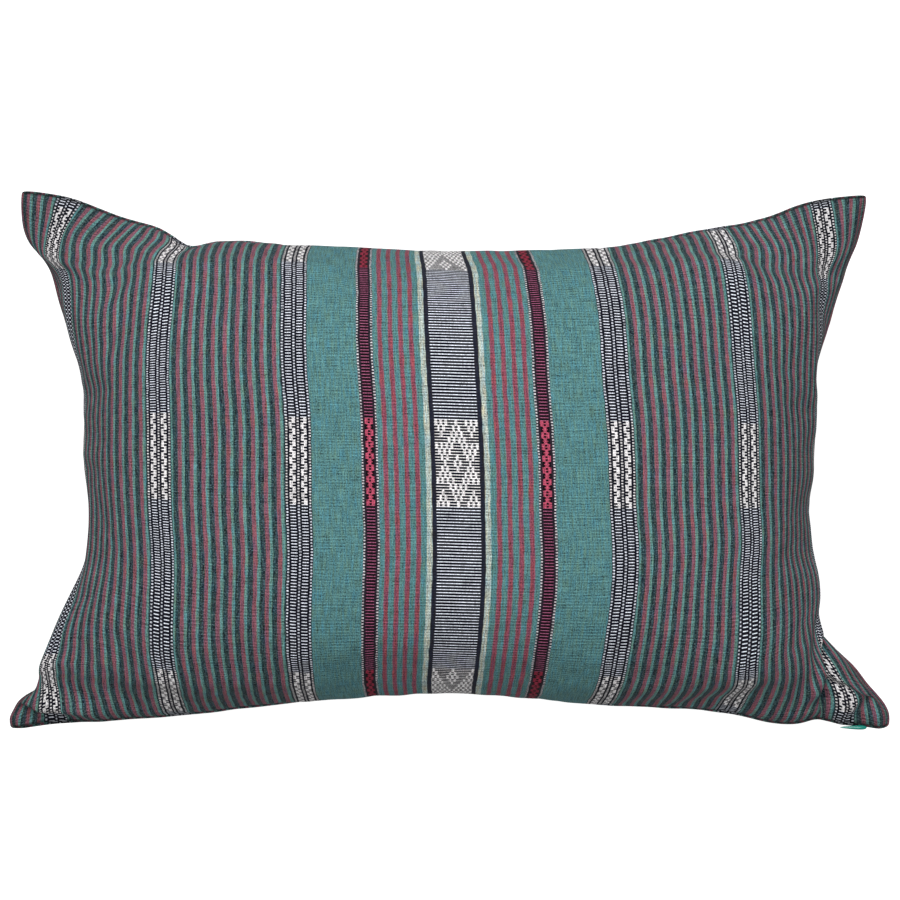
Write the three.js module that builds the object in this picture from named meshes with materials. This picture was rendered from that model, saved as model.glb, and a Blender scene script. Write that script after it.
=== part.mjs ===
// A plump lumbar cushion lying on its back: two striped panels sewn edge to edge round a soft filling.
// X runs along the long side, Y up the face, Z out of the face. Millimetres, with the origin on the floor.
import * as THREE from "three";

// Driving dimensions of the cover and its filling
const COVER_WIDTH = 660; // one flat panel, seam to seam
const COVER_HEIGHT = 406;
const CROWN = 96; // the front's highest point above the seam
const SEAM_HEIGHT = 90; // the seam above the floor, so the back is flat where it would sink 6 mm
const SEAM_THICKNESS = 3; // two layers of cloth and their turned-in allowances
const SIDE_FULLNESS = 3.3; // power of the rounded section along X: 2 is an ellipse, more is squarer
const END_FULLNESS = 2.1; // the same along Y
const SIDE_LIP = 30; // how far the filling swells past the left and right seams
const END_LIP = 12; // how far it swells past the top and bottom seams
const LIP_POWER = 8; // keeps the swelling close to the seam
const STEPS_ACROSS = 48;
const STEPS_UP = 36;

// The zip's pull, a drop of enamelled metal that peeks out under the bottom seam
const PULL_LENGTH = 18;
const PULL_DEPTH = 3.4;
const PULL_THICKNESS = 2;
const PULL_BEVEL = 0.6;
const PULL_CLOTH = 294; // where its thin end leaves the seam, measured along the bottom edge
const PULL_GAP = 0.4;

// Where the filled cover draws each point of its flat edge: cloth is measured from the edge's middle
const seamTop = [
  { cloth: -330, x: -292.7, y: 183.2 },
  { cloth: -293, x: -256.2, y: 177.5 },
  { cloth: -255, x: -224, y: 165.5 },
  { cloth: -198, x: -182, y: 146 },
  { cloth: -104, x: -100, y: 141 },
  { cloth: 0, x: -3, y: 136 },
  { cloth: 104, x: 101, y: 141 },
  { cloth: 198, x: 181, y: 152 },
  { cloth: 255, x: 221, y: 166 },
  { cloth: 330, x: 283.8, y: 179.8 },
];
const seamRight = [
  { cloth: -203, x: 300.8, y: -182.5 },
  { cloth: -168, x: 281, y: -152 },
  { cloth: -126, x: 250, y: -122 },
  { cloth: -90, x: 233, y: -92 },
  { cloth: 0, x: 223, y: -5 },
  { cloth: 105, x: 249, y: 92 },
  { cloth: 146, x: 267, y: 126 },
  { cloth: 203, x: 283.8, y: 179.8 },
];
const seamBottom = [
  { cloth: -330, x: -300.8, y: -181.8 },
  { cloth: -297, x: -268.9, y: -178.5 },
  { cloth: -255, x: -234, y: -176.5 },
  { cloth: -198, x: -184, y: -172 },
  { cloth: -104, x: -99, y: -160 },
  { cloth: 0, x: 0, y: -155 },
  { cloth: 104, x: 99, y: -161 },
  { cloth: 198, x: 184, y: -172 },
  { cloth: 250, x: 228, y: -179 },
  { cloth: 296, x: 266.8, y: -180 },
  { cloth: 330, x: 300.8, y: -182.5 },
];
const seamLeft = [
  { cloth: -203, x: -300.8, y: -181.8 },
  { cloth: -160, x: -277, y: -151 },
  { cloth: -125, x: -259, y: -118 },
  { cloth: -90, x: -240, y: -88 },
  { cloth: 0, x: -224, y: 4 },
  { cloth: 100, x: -250, y: 90 },
  { cloth: 145, x: -271, y: 130 },
  { cloth: 181, x: -289, y: 161.5 },
  { cloth: 203, x: -292.7, y: 183.2 },
];

// Soft troughs in the front: middle, heading in degrees, half length, half width and depth
const folds = [
  { name: "lower right ear", x: 251, y: -148, heading: 80, length: 34, width: 9, depth: 8 },
  { name: "lower left tuck", x: -272, y: -163, heading: -20, length: 22, width: 7, depth: 5 },
  { name: "top left pucker", x: -178, y: 138, heading: -65, length: 20, width: 9, depth: 8 },
  { name: "left pucker", x: -236, y: 14, heading: 0, length: 16, width: 10, depth: 6 },
];
const FOLD_SHARE = 0.7; // a trough never takes more than this share of the height it is pressed into

// A smooth curve through the rows of a seam table, read at a distance along the cloth
function seamCurve(rows) {
  const slope = (from, to, axis) => (to[axis] - from[axis]) / (to.cloth - from.cloth);
  function tangent(index, axis) {
    const before = rows[Math.max(index - 1, 0)];
    const after = rows[Math.min(index + 1, rows.length - 1)];
    return slope(before, after, axis);
  }
  function along(cloth, axis) {
    const last = rows.length - 2;
    const found = rows.findIndex((row) => row.cloth > cloth) - 1;
    const index = found < 0 ? last : found;
    const [from, to] = [rows[index], rows[index + 1]];
    const run = to.cloth - from.cloth;
    const share = (cloth - from.cloth) / run;
    const rise = share * share * (3 - 2 * share);
    const leave = share * (1 - share) * (1 - share);
    const arrive = share * share * (share - 1);
    const bend = run * (leave * tangent(index, axis) + arrive * tangent(index + 1, axis));
    return from[axis] + rise * (to[axis] - from[axis]) + bend;
  }
  return (cloth) => new THREE.Vector2(along(cloth, "x"), along(cloth, "y"));
}

const top = seamCurve(seamTop);
const right = seamCurve(seamRight);
const bottom = seamCurve(seamBottom);
const left = seamCurve(seamLeft);

// The point of the seam plane at shares -1 to 1 across and up, blended from the four seams
function planPoint(across, up) {
  const [s, t] = [(across * COVER_WIDTH) / 2, (up * COVER_HEIGHT) / 2];
  const [u, v] = [(across + 1) / 2, (up + 1) / 2];
  const [halfWidth, halfHeight] = [COVER_WIDTH / 2, COVER_HEIGHT / 2];
  return new THREE.Vector2()
    .addScaledVector(bottom(s), 1 - v)
    .addScaledVector(top(s), v)
    .addScaledVector(left(t), 1 - u)
    .addScaledVector(right(t), u)
    .addScaledVector(left(-halfHeight), -(1 - u) * (1 - v))
    .addScaledVector(right(-halfHeight), -u * (1 - v))
    .addScaledVector(top(-halfWidth), -(1 - u) * v)
    .addScaledVector(top(halfWidth), -u * v);
}

// A rounded section read at an angle of -90 to 90 degrees: how far out, how high, and its lip past the seam
function sectionAt(angle, fullness) {
  const [sine, cosine] = [Math.sin(angle), Math.max(Math.cos(angle), 0)];
  const peak = Math.atan(Math.sqrt(LIP_POWER));
  const lipPeak = Math.sin(peak) ** LIP_POWER * Math.cos(peak);
  return {
    out: Math.sign(sine) * Math.abs(sine) ** (2 / fullness),
    high: cosine ** (2 / fullness),
    lip: (Math.sign(sine) * Math.abs(sine) ** LIP_POWER * cosine) / lipPeak,
  };
}

// How deep the folds press into a point of the front
function foldDepth(point) {
  let depth = 0;
  for (const fold of folds) {
    const heading = THREE.MathUtils.degToRad(fold.heading);
    const offset = point.clone().sub(new THREE.Vector2(fold.x, fold.y));
    const [cosine, sine] = [Math.cos(heading), Math.sin(heading)];
    const alongFold = (offset.x * cosine + offset.y * sine) / fold.length;
    const acrossFold = (offset.y * cosine - offset.x * sine) / fold.width;
    depth += fold.depth * Math.exp(-alongFold * alongFold - acrossFold * acrossFold);
  }
  return depth;
}

// A point of one panel: side is 1 on the front and -1 on the back, which the floor flattens
function panelPoint(stepAcross, stepUp, side) {
  const across = sectionAt((stepAcross / STEPS_ACROSS - 0.5) * Math.PI, SIDE_FULLNESS);
  const up = sectionAt((stepUp / STEPS_UP - 0.5) * Math.PI, END_FULLNESS);
  const plan = planPoint(across.out, up.out);
  plan.x += SIDE_LIP * across.lip * (1 - up.out * up.out) ** 2;
  plan.y += END_LIP * up.lip * (1 - across.out * across.out) ** 2;
  const swell = CROWN * across.high * up.high;
  const height = side > 0 ? swell - Math.min(foldDepth(plan), FOLD_SHARE * swell) : swell;
  const z = SEAM_HEIGHT + side * (SEAM_THICKNESS / 2 + height);
  return [plan.x, plan.y, Math.max(z, 0)];
}

// The filled cover as one closed surface: both panels, joined by the thin rim of the seam
function filledCover() {
  const positions = [];
  const triangles = [];
  const row = STEPS_ACROSS + 1;
  const panelSize = row * (STEPS_UP + 1);
  const at = (stepAcross, stepUp, side) => (side > 0 ? 0 : panelSize) + stepUp * row + stepAcross;
  const quad = (a, b, c, d) => triangles.push(a, b, c, a, c, d);
  for (const side of [1, -1]) {
    for (let up = 0; up <= STEPS_UP; up++) {
      for (let across = 0; across <= STEPS_ACROSS; across++) {
        positions.push(...panelPoint(across, up, side));
      }
    }
  }
  for (let up = 0; up < STEPS_UP; up++) {
    for (let across = 0; across < STEPS_ACROSS; across++) {
      const corners = (side) => [
        at(across, up, side),
        at(across + 1, up, side),
        at(across + 1, up + 1, side),
        at(across, up + 1, side),
      ];
      quad(...corners(1));
      quad(...corners(-1).reverse());
    }
  }
  const rim = (from, to) => quad(at(...from, -1), at(...to, -1), at(...to, 1), at(...from, 1));
  for (let across = 0; across < STEPS_ACROSS; across++) {
    rim([across, 0], [across + 1, 0]);
    rim([across + 1, STEPS_UP], [across, STEPS_UP]);
  }
  for (let up = 0; up < STEPS_UP; up++) {
    rim([STEPS_ACROSS, up], [STEPS_ACROSS, up + 1]);
    rim([0, up + 1], [0, up]);
  }
  const geometry = new THREE.BufferGeometry();
  geometry.setAttribute("position", new THREE.Float32BufferAttribute(positions, 3));
  geometry.setIndex(triangles);
  geometry.computeVertexNormals();
  return geometry;
}

// The pull as a bevelled drop, thin where it leaves the seam and rounded at its free end
function zipPull() {
  const inner = PULL_LENGTH - 2 * PULL_BEVEL;
  const depth = PULL_DEPTH - 2 * PULL_BEVEL;
  const drop = new THREE.Shape();
  drop.moveTo(0, 0);
  drop.quadraticCurveTo(inner * 0.45, -depth * 1.1, inner * 0.8, -depth);
  drop.quadraticCurveTo(inner, -depth * 0.9, inner, -depth * 0.45);
  drop.quadraticCurveTo(inner * 0.95, 0, inner * 0.7, 0);
  drop.closePath();
  const geometry = new THREE.ExtrudeGeometry(drop, {
    depth: PULL_THICKNESS - 2 * PULL_BEVEL,
    bevelEnabled: true,
    bevelThickness: PULL_BEVEL,
    bevelSize: PULL_BEVEL,
    bevelSegments: 2,
    curveSegments: 8,
  });
  geometry.deleteAttribute("uv");
  return geometry;
}

const cloth = new THREE.MeshStandardMaterial({ color: 0x4d6b6a, roughness: 0.9, metalness: 0 });
const enamel = new THREE.MeshStandardMaterial({ color: 0x1f8f88, roughness: 0.25, metalness: 0.3 });

const cover = new THREE.Mesh(filledCover(), cloth);
cover.name = "filled_cover";

const pull = new THREE.Mesh(zipPull(), enamel);
pull.name = "zip_pull";
const thinEnd = bottom(PULL_CLOTH);
const alongSeam = bottom(PULL_CLOTH + PULL_LENGTH).sub(thinEnd);
const pullLift = SEAM_HEIGHT - PULL_THICKNESS / 2 + PULL_BEVEL;
pull.position.set(thinEnd.x + PULL_BEVEL, thinEnd.y - PULL_GAP - PULL_BEVEL, pullLift);
pull.rotation.z = alongSeam.angle();

// The whole stands over the middle of its own outline
const cushion = new THREE.Group();
cushion.add(cover, pull);
const outline = new THREE.Box3().setFromObject(cushion);
const middle = outline.getCenter(new THREE.Vector3());
cushion.position.set(-middle.x, -middle.y, -outline.min.z);

export default cushion;
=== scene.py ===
# %% [markdown]
# A plump lumbar cushion in hand-woven striped cloth, lying on its back.
# The packed model gives the size and the place of the two pieces: the filled cover and the pull of its zip.
# The cover is cut flat and sewn here as a maker would do it. Its shape is first drawn from a few measured
# lines, because every stripe has to lie where the eye expects it. Then a short cloth simulation lets the
# filling swell it.

# %% Load the frame
import math

import bpy
import numpy as np
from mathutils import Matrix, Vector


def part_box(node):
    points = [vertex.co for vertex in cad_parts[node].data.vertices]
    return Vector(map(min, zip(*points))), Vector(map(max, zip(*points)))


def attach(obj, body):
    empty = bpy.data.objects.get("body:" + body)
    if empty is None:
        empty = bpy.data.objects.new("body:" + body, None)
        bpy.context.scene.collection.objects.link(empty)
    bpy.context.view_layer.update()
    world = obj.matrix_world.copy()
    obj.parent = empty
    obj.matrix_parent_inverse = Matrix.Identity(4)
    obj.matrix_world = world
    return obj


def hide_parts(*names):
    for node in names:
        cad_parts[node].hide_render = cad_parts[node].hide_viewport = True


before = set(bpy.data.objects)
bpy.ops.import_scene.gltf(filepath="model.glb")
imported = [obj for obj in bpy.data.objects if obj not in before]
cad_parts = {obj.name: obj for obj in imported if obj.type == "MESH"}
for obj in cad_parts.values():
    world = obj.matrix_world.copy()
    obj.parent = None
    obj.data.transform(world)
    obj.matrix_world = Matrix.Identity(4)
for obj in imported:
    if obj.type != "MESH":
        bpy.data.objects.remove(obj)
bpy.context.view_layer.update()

MM = 0.001
print("pieces in the frame:", sorted(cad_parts))

# %% [markdown]
# The picture is taken square on to the face, from about two metres, with a long lens. The cushion lies on
# its back, so the camera hangs above it and the top edge of the picture is +Y. A camera can be placed by
# eye, but here its lens and its place follow from the scale of the seam in the picture, so that sizes in
# millimetres can be compared with it.

# %% The camera
SENSOR_WIDTH = 36
PHOTO_SIDE = 900
PIXELS_PER_MM = 1.471  # in the plane of the seam
SEAM_HEIGHT = 90 * MM
CAMERA_RISE = 1.87  # above the seam
PHOTO_MIDDLE = (450.5, 459.5)  # the pixel of the outline's middle
SEAM_TOP_CORNER = 183.2 * MM  # where the seam drawn below meets the top of the packed cover

scene = bpy.context.scene
camera = bpy.data.objects.new("camera", bpy.data.cameras.new("camera"))
scene.collection.objects.link(camera)
scene.camera = camera
cover_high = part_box("filled_cover")[1]
table_shift = cover_high.y - SEAM_TOP_CORNER
camera.data.sensor_width = SENSOR_WIDTH
camera.data.lens = SENSOR_WIDTH / PHOTO_SIDE * PIXELS_PER_MM * CAMERA_RISE / MM
camera.location = (
    (PHOTO_SIDE / 2 - PHOTO_MIDDLE[0]) / PIXELS_PER_MM * MM,
    (PHOTO_MIDDLE[1] - PHOTO_SIDE / 2) / PIXELS_PER_MM * MM + table_shift,
    SEAM_HEIGHT + CAMERA_RISE,
)
print("lens", round(camera.data.lens, 1), "mm, camera at", [round(c, 4) for c in camera.location])

# %% [markdown]
# Soft studio light: a wide panel beyond the top edge is the stronger one, so the lower edge falls into
# shade, a second panel hangs behind the camera, and the room itself gives an even glow. A sun or a spot
# would be simpler, but area lights are used because a wide panel keeps the shadows in the folds soft.

# %% Lights
PANEL_SIDE = 1.4
PANEL_AIM = (0, 0, 0.1)
KEY_PLACE = (-0.3, 1.4, 2.3)
KEY_WATTS = 38
FRONT_PLACE = (0.1, 0, 2.9)
FRONT_WATTS = 22
ROOM_GLOW = 0.2


def panel_light(name, place, watts):
    light = bpy.data.lights.new(name, "AREA")
    light.size = PANEL_SIDE
    light.energy = watts
    lamp = bpy.data.objects.new(name, light)
    scene.collection.objects.link(lamp)
    lamp.location = place
    direction = np.array(PANEL_AIM) - np.array(place)
    lamp.rotation_euler = (
        math.atan2(math.hypot(direction[0], direction[1]), -direction[2]),
        0,
        math.atan2(direction[0], -direction[1]) + math.pi,
    )


panel_light("key_panel", KEY_PLACE, KEY_WATTS)
panel_light("front_panel", FRONT_PLACE, FRONT_WATTS)
room = bpy.data.worlds.new("room")
scene.world = room
room.use_nodes = True
room.node_tree.nodes["Background"].inputs["Color"].default_value = (1, 1, 1, 1)
room.node_tree.nodes["Background"].inputs["Strength"].default_value = ROOM_GLOW
scene.view_settings.view_transform = "Standard"

# %% [markdown]
# The floor is plain and pale, like paper in a studio. Brighter lamps could turn it white, but they would
# bleach the cloth too. So it glows a little for the camera alone: it stays near white under the shadow and
# throws no more light on the cushion than grey paper would.

# %% Floor
FLOOR_REACH = 6
PAPER_GREY = (0.5, 0.5, 0.5, 1)
PAPER_ROUGHNESS = 0.9
PAPER_GLOW = 0.9

floor_mesh = bpy.data.meshes.new("floor")
corners = [(x * FLOOR_REACH, y * FLOOR_REACH, 0) for x, y in ((-1, -1), (1, -1), (1, 1), (-1, 1))]
floor_mesh.from_pydata(corners, [], [(0, 1, 2, 3)])
floor = bpy.data.objects.new("floor", floor_mesh)
scene.collection.objects.link(floor)
paper = bpy.data.materials.new("pale_paper")
paper.use_nodes = True
paper_shader = paper.node_tree.nodes["Principled BSDF"]
paper_shader.inputs["Base Color"].default_value = PAPER_GREY
paper_shader.inputs["Roughness"].default_value = PAPER_ROUGHNESS
paper_shader.inputs["Emission Strength"].default_value = PAPER_GLOW
sight = paper.node_tree.nodes.new("ShaderNodeLightPath")
paper.node_tree.links.new(sight.outputs["Is Camera Ray"], paper_shader.inputs["Emission Color"])
floor_mesh.materials.append(paper)
print("floor of", 2 * FLOOR_REACH, "m")

# %% [markdown]
# The cover is two panels of one cut, sewn edge to edge and turned. Filling draws the sides in between the
# corners, so each point of the flat edge ends up further in. A simulation can find such a seam, but not the
# uneven one that this cushion has. So short tables say where the edge lies, as (cloth, x, y) in
# millimetres, with cloth measured along the edge from its middle, and a smooth curve runs through each
# table.

# %% The drawn-in seam
SEAM_TOP = [
    (-330, -292.7, 184), (-293, -256.5, 178), (-255, -221.5, 164.5), (-222, -199, 157.3),
    (-208, -191, 152.5), (-190, -178, 145), (-165, -157, 148), (-104, -100, 144), (0, -3, 138),
    (104, 96, 142), (198, 178, 157), (222, 196, 160), (250, 217, 165.5), (275, 236, 173),
    (294, 250, 176.8), (330, 283.8, 180.5),
]
SEAM_RIGHT = [
    (-203, 301, -183), (-194.5, 299, -174), (-182.4, 292.9, -163.5), (-168.3, 283.5, -153),
    (-154, 274.5, -141.7), (-141, 264, -133), (-126, 251, -124), (-110, 246, -109), (-90, 242, -90),
    (0, 238, -5), (70, 247, 62), (105, 259, 95), (146, 271.5, 132), (180, 280, 160), (203, 283.8, 180.5),
]
SEAM_BOTTOM = [
    (-330, -301.5, -184.5), (-316, -288, -182.8), (-297, -268.9, -180.3), (-255, -234, -178),
    (-198, -184, -174), (-104, -99, -164), (0, 0, -157), (104, 99, -166), (198, 185, -172),
    (250, 230.5, -180.3), (272, 247.5, -177), (296, 266.8, -180.9), (306, 277, -181.7),
    (312, 283.5, -182.3), (318, 289.5, -183.4), (325, 296, -183.9), (330, 301, -183),
]
SEAM_LEFT = [
    (-203, -301.5, -184.5), (-195, -300.5, -177), (-188.5, -297.3, -172), (-177, -291, -162.5),
    (-168, -283.5, -158), (-158, -274, -155.5), (-145, -267.5, -144), (-125, -262, -120),
    (-90, -248, -88), (0, -240, 4), (70, -248, 68), (105, -260, 96), (145, -274, 131),
    (181, -289, 160), (203, -292.7, 184),
]


def smooth_curve(rows):
    """A cubic through the rows of a table, as a function of the cloth distance."""
    table = np.array(rows, float)
    cloth, points = table[:, 0], table[:, 1:]
    gap = np.diff(cloth)[:, None]
    rise = np.diff(points, axis=0) / gap
    inner = (rise[:-1] * gap[1:] + rise[1:] * gap[:-1]) / (gap[:-1] + gap[1:])
    slope = np.concatenate((rise[:1], inner, rise[-1:]))

    def at(distance):
        i = np.clip(np.searchsorted(cloth, distance) - 1, 0, len(gap) - 1)
        share = ((distance - cloth[i]) / gap[i][..., 0])[..., None]
        ease = share * share * (3 - 2 * share)
        leave = share * (1 - share) ** 2 * gap[i] * slope[i]
        arrive = share * share * (share - 1) * gap[i] * slope[i + 1]
        return points[i] + ease * (points[i + 1] - points[i]) + leave + arrive

    return at


def seam_curve(rows):
    """The seam lies level, so its height is 0 all along."""
    return smooth_curve([(*row, 0) for row in rows])


top, right, bottom, left = map(seam_curve, (SEAM_TOP, SEAM_RIGHT, SEAM_BOTTOM, SEAM_LEFT))
print("seam tables of", [len(rows) for rows in (SEAM_TOP, SEAM_RIGHT, SEAM_BOTTOM, SEAM_LEFT)], "rows")

# %% [markdown]
# Each panel is a plain rectangle of cloth, 26 by 16 inches, ruled into small, nearly square cells.
# Everything that follows moves the corners of these cells. They are kept as a grid of numbers, because that
# is shorter and quicker than moving the vertices of a mesh one by one.

# %% The cut
COVER_WIDTH = 660
COVER_HEIGHT = 406
CELL = 5

cells_across = 2 * round(COVER_WIDTH / CELL / 2)
cells_up = 2 * round(COVER_HEIGHT / CELL / 2)
cloth_across, cloth_up = np.meshgrid(
    np.linspace(-COVER_WIDTH / 2, COVER_WIDTH / 2, cells_across + 1),
    np.linspace(-COVER_HEIGHT / 2, COVER_HEIGHT / 2, cells_up + 1),
)
edge_across, edge_up = cloth_across[0], cloth_up[:, 0]
on_seam = np.zeros(cloth_across.shape, bool)
on_seam[[0, -1]] = True
on_seam[:, [0, -1]] = True
print("panel of", cells_across, "by", cells_up, "cells")

# %% [markdown]
# Two more tables give the swell of the filled front along its middle row and its middle column, as
# (cloth, x, y, z). The cloth bulges past the seam and rolls under before it meets it. The lower half is the
# fuller one, and the crown leans a little to the right, as the filling has settled.

# %% The swell of the front
CROWN = 97.4

MIDDLE_ROW = [
    (-330, -240, 4, 0), (-317, -245, 3.5, 2), (-305, -248.3, 3, 5), (-295, -249, 2.7, 9),
    (-286, -248.2, 2.3, 14), (-279, -246.1, 3, 19), (-262.4, -237.8, 3, 30.5), (-245.8, -228.3, 2.9, 42),
    (-229.2, -216.4, 2.8, 52.5), (-212.6, -202.1, 2.5, 62), (-184.2, -176, 1.6, 73.6),
    (-151, -143.8, 0.4, 83.9), (-117.8, -110.9, -1, 91), (-60, -55, -2.4, 96), (0, 4.6, -3.2, CROWN),
    (60, 64.7, -3.6, 96), (119.8, 124.4, -4.2, 91), (153, 154.8, -4.6, 83.6), (186.2, 183.5, -5, 73),
    (214.6, 206.1, -5.2, 61.4), (231.2, 218.2, -5.2, 51.3), (247.8, 228, -5.2, 40.7),
    (264.4, 237, -5.2, 29.5), (281, 244, -5.1, 17.5), (288, 245.6, -5, 13), (297, 246.3, -4.8, 8.5),
    (307, 245.4, -4.9, 5), (318, 242.5, -5, 2), (330, 238, -5, 0),
]
MIDDLE_COLUMN = [
    (-203, 0, -157, 0), (-191, 0, -159.2, 7), (-182, -0.3, -159.2, 16), (-172, -0.2, -157.5, 28),
    (-158, 0.6, -150.5, 43.5), (-139.5, 2.2, -137, 59), (-125, 2.8, -125.8, 70.5), (-100, 3.9, -102.9, 85),
    (-60, 5.2, -63.5, 95), (-26.6, 4.6, -30.3, 97), (0, 4.6, -3.2, CROWN), (28.6, 3.8, 25.8, 96.4),
    (60, 1.7, 57.5, 91.5), (85, 0.4, 82, 83), (108, -0.8, 102, 71), (130, -2.3, 118.8, 56.5),
    (141.5, -3, 126.4, 47), (160, -3.5, 134.5, 31), (172, -3.4, 140.5, 20), (181, -3.2, 142, 12),
    (188, -3, 141.6, 6), (195, -3, 140.2, 2.5), (203, -3, 138, 0),
]
row, column = smooth_curve(MIDDLE_ROW), smooth_curve(MIDDLE_COLUMN)
print("swell of", CROWN, "mm over the seam")

# %% [markdown]
# A surface through the four edges and the two middle lines guides the filling. It could be lofted from many
# sections, but six lines are enough where each counts most in its own place and fades toward the next one.
# The height is the product of the two swells, and the corners are filled out a little, because stuffing is
# pushed into them by hand.

# %% The guiding surface
LINE_FADE = 2.6
SIDE_FADE = 1.5
SIDE_SHARPNESS = 12  # how close to the short sides the other fade stays
CORNER_FILL = 90


def line_weights(share, fade):
    """How much the low edge, the middle line and the high edge count, for a share of -1 to 1 of the cloth."""
    edge = (np.abs(share) ** fade)[..., None]
    return np.where(share[..., None] < 0, edge, 0), 1 - edge, np.where(share[..., None] > 0, edge, 0)


def guide_panel():
    rows = [bottom(edge_across), row(edge_across), top(edge_across)]
    columns = [left(edge_up), column(edge_up), right(edge_up)]
    share_across = 2 * cloth_across / COVER_WIDTH
    share_up = 2 * cloth_up / COVER_HEIGHT
    fade_up = LINE_FADE + (SIDE_FADE - LINE_FADE) * share_across**SIDE_SHARPNESS
    count_across = line_weights(share_across, LINE_FADE)
    count_up = line_weights(share_up, fade_up)
    panel = sum(w * line[None] for w, line in zip(count_up, rows))
    for over, line, i in zip(count_across, columns, (0, cells_across // 2, cells_across)):
        passed = sum(w[:, i] * other[i] for w, other in zip(count_up, rows))
        panel = panel + over * (line - passed)[:, None]
    corner = (share_across * share_up) ** 2 * np.sqrt((1 - share_across**2) * (1 - share_up**2))
    panel[..., 2] = rows[1][None, :, 2] * columns[1][:, None, 2] / CROWN + CORNER_FILL * corner
    return panel


guide = guide_panel()
guide_low, guide_high = guide.min((0, 1)), guide.max((0, 1))
print("guide reaches", np.round(guide_low, 1), "to", np.round(guide_high, 1))

# %% [markdown]
# No cushion is even. By hand one would sculpt this with the grab brush, but a script has to give the same
# shape each time. So soft pushes move the guide: each has a place on the cloth, a reach across and up, and
# a shift. Most of them settle the filling, and four round the tips of the corners.

# %% Pushes
SETTLED = [
    # across, up, reach across, reach up, x, y, z
    (225, -118, 75, 42, 8.5, 0, 0),
    (293, -112, 22, 24, 4, 0, 5),
    (289, -150, 20, 18, -6.5, 0, 0),
    (290, -85, 45, 35, 5, 0, 0),
    (294, -185, 25, 15, 3, 0, 0),
    (200, -50, 50, 30, 3, 0, 0),
    (105, -70, 60, 70, 3, 0, 0),
    (200, -165, 50, 25, 4, 0, 0),
    (-290, -148, 34, 34, -14, 0, 0),
    (-304, -150, 16, 18, -8, 0, 4),
    (-294, -80, 45, 35, -3, 0, 0),
    (-314, -118, 30, 28, -7, 0, 0),
    (-312, 105, 30, 28, -5, 0, 0),
    (-294, 160, 35, 28, -11, 0, 0),
    (-290, 55, 35, 35, -1, 0, 0),
    (-199, 125, 45, 35, 3.5, 0, 0),
    (-199, -130, 45, 35, -2.5, 0, 0),
    (290, 55, 35, 30, 3, 0, 0),
    (-199, 38, 70, 35, 0, 3, 0),
    (-199, -38, 70, 35, 0, -3, 0),
    (199, 38, 70, 35, 0, 2.5, 0),
    (199, -38, 70, 35, 0, -2.5, 0),
    (-294, 130, 40, 30, 0, 19, 0),
    (-199, 130, 50, 30, 0, 14, 0),
    (-105, 130, 40, 30, 0, 4, 0),
    (105, 130, 40, 30, 0, 3, 0),
    (199, 130, 50, 30, 0, 16, 0),
    (294, 130, 40, 30, 0, 12, 0),
    (-294, -130, 40, 30, 0, -13, 0),
    (-199, -130, 50, 30, 0, -11, 0),
    (-105, -130, 40, 30, 0, -3, 0),
    (105, -130, 40, 30, 0, -3, 0),
    (199, -130, 50, 30, 0, -16, 0),
    (-312, -176, 13, 9, -1, -4, 0),
    (-212, 183, 22, 14, 6, 0, 0),
    (-243, 178, 30, 13, -6, 0, 0),
    (-276, 186, 16, 12, -4, 0, 0),
    (-247, 147, 28, 13, -2.5, 0, 0),
    (262, -133, 18, 12, 1.5, 0, 0),
    (240, 172, 42, 17, 4.5, 0, 0),
    (266, -187, 9, 8, 0, 0, -6),
    (250, -172, 32, 30, 6.5, 0, 0),
    (248, -122, 28, 28, 3, 0, 0),
    (-252, -155, 36, 32, -5, 0, 0),
    (-255, -112, 28, 28, -3, 0, 0),
    (258, 120, 32, 40, 3, 0, 0),
    (-265, 115, 25, 35, -3, 0, 0),
    (305, 172, 14, 20, 4, 0, 0),
    (-85, -180, 75, 28, 4, 0, 0),
    (40, 178, 60, 22, -4, 0, 0),
]
TIPS = [
    (330, -203, 6, 6, -3, 2, 0),
    (-330, -203, 6, 6, 3, 2, 0),
    (-330, 203, 5, 5, 1.5, -1.5, 0),
    (330, 203, 4, 4, -1, -1, 0),
]


def push(panel, across, up, reach_across, reach_up, *shift):
    away_across = (cloth_across - across) / reach_across
    away_up = (cloth_up - up) / reach_up
    nearness = np.exp(-(away_across**2) - away_up**2)
    panel += nearness[..., None] * np.array(shift)


for place_and_shift in SETTLED + TIPS:
    push(guide, *place_and_shift)
print("pushed", len(SETTLED) + len(TIPS), "times")

# %% [markdown]
# The two lower corners are folded a little under the belly. A simulation would need very fine cells for
# such sharp folds, so each one is laid one by one. A tuck brings the cloth on one side of a line over the
# cloth on its other side, most of all close to the line.

# %% Tucks
TUCKS = [
    # from across, from up, to across, to up, width, overlap, depth
    (310, -130, 266, -186, 9, 6.5, 5),
    (326, -184, 282, -171, 6, 2.5, 2.5),
    (324, -178, 296, -197, 6, 3.5, 3),
    (262, -174, 276, -203, 6, 3.5, 3),
    (-256, -201, -308, -193, 7, 4.5, 5),
    (-302, -195, -332, -177, 7, 4.5, 5),
]
TUCK_ENDS = 6  # an even power: the higher, the more sudden the ends of a tuck
LEAST_SWELL = 1


def tuck(panel, from_across, from_up, to_across, to_up, width, overlap, depth):
    """Lets the belly hang over the cloth on the left of a fold line, seen along the line."""
    run = np.array((to_across - from_across, to_up - from_up))
    length = np.linalg.norm(run)
    along = run / length
    aside = np.array((-along[1], along[0]))
    away = np.stack((cloth_across - from_across, cloth_up - from_up), -1)
    fade = np.exp(-((2 * (away @ along) / length - 1) ** TUCK_ENDS))
    distance = away @ aside / width
    turn = fade * math.sqrt(2 * math.e) * distance * np.exp(-(distance**2))
    turn[on_seam] = 0
    panel -= turn[..., None] * np.array((*(overlap * aside), depth))


for fold in TUCKS:
    tuck(guide, *fold)
guide[~on_seam, 2] = np.maximum(guide[~on_seam, 2], LEAST_SWELL)
print("tucked", len(TUCKS), "times")

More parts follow.
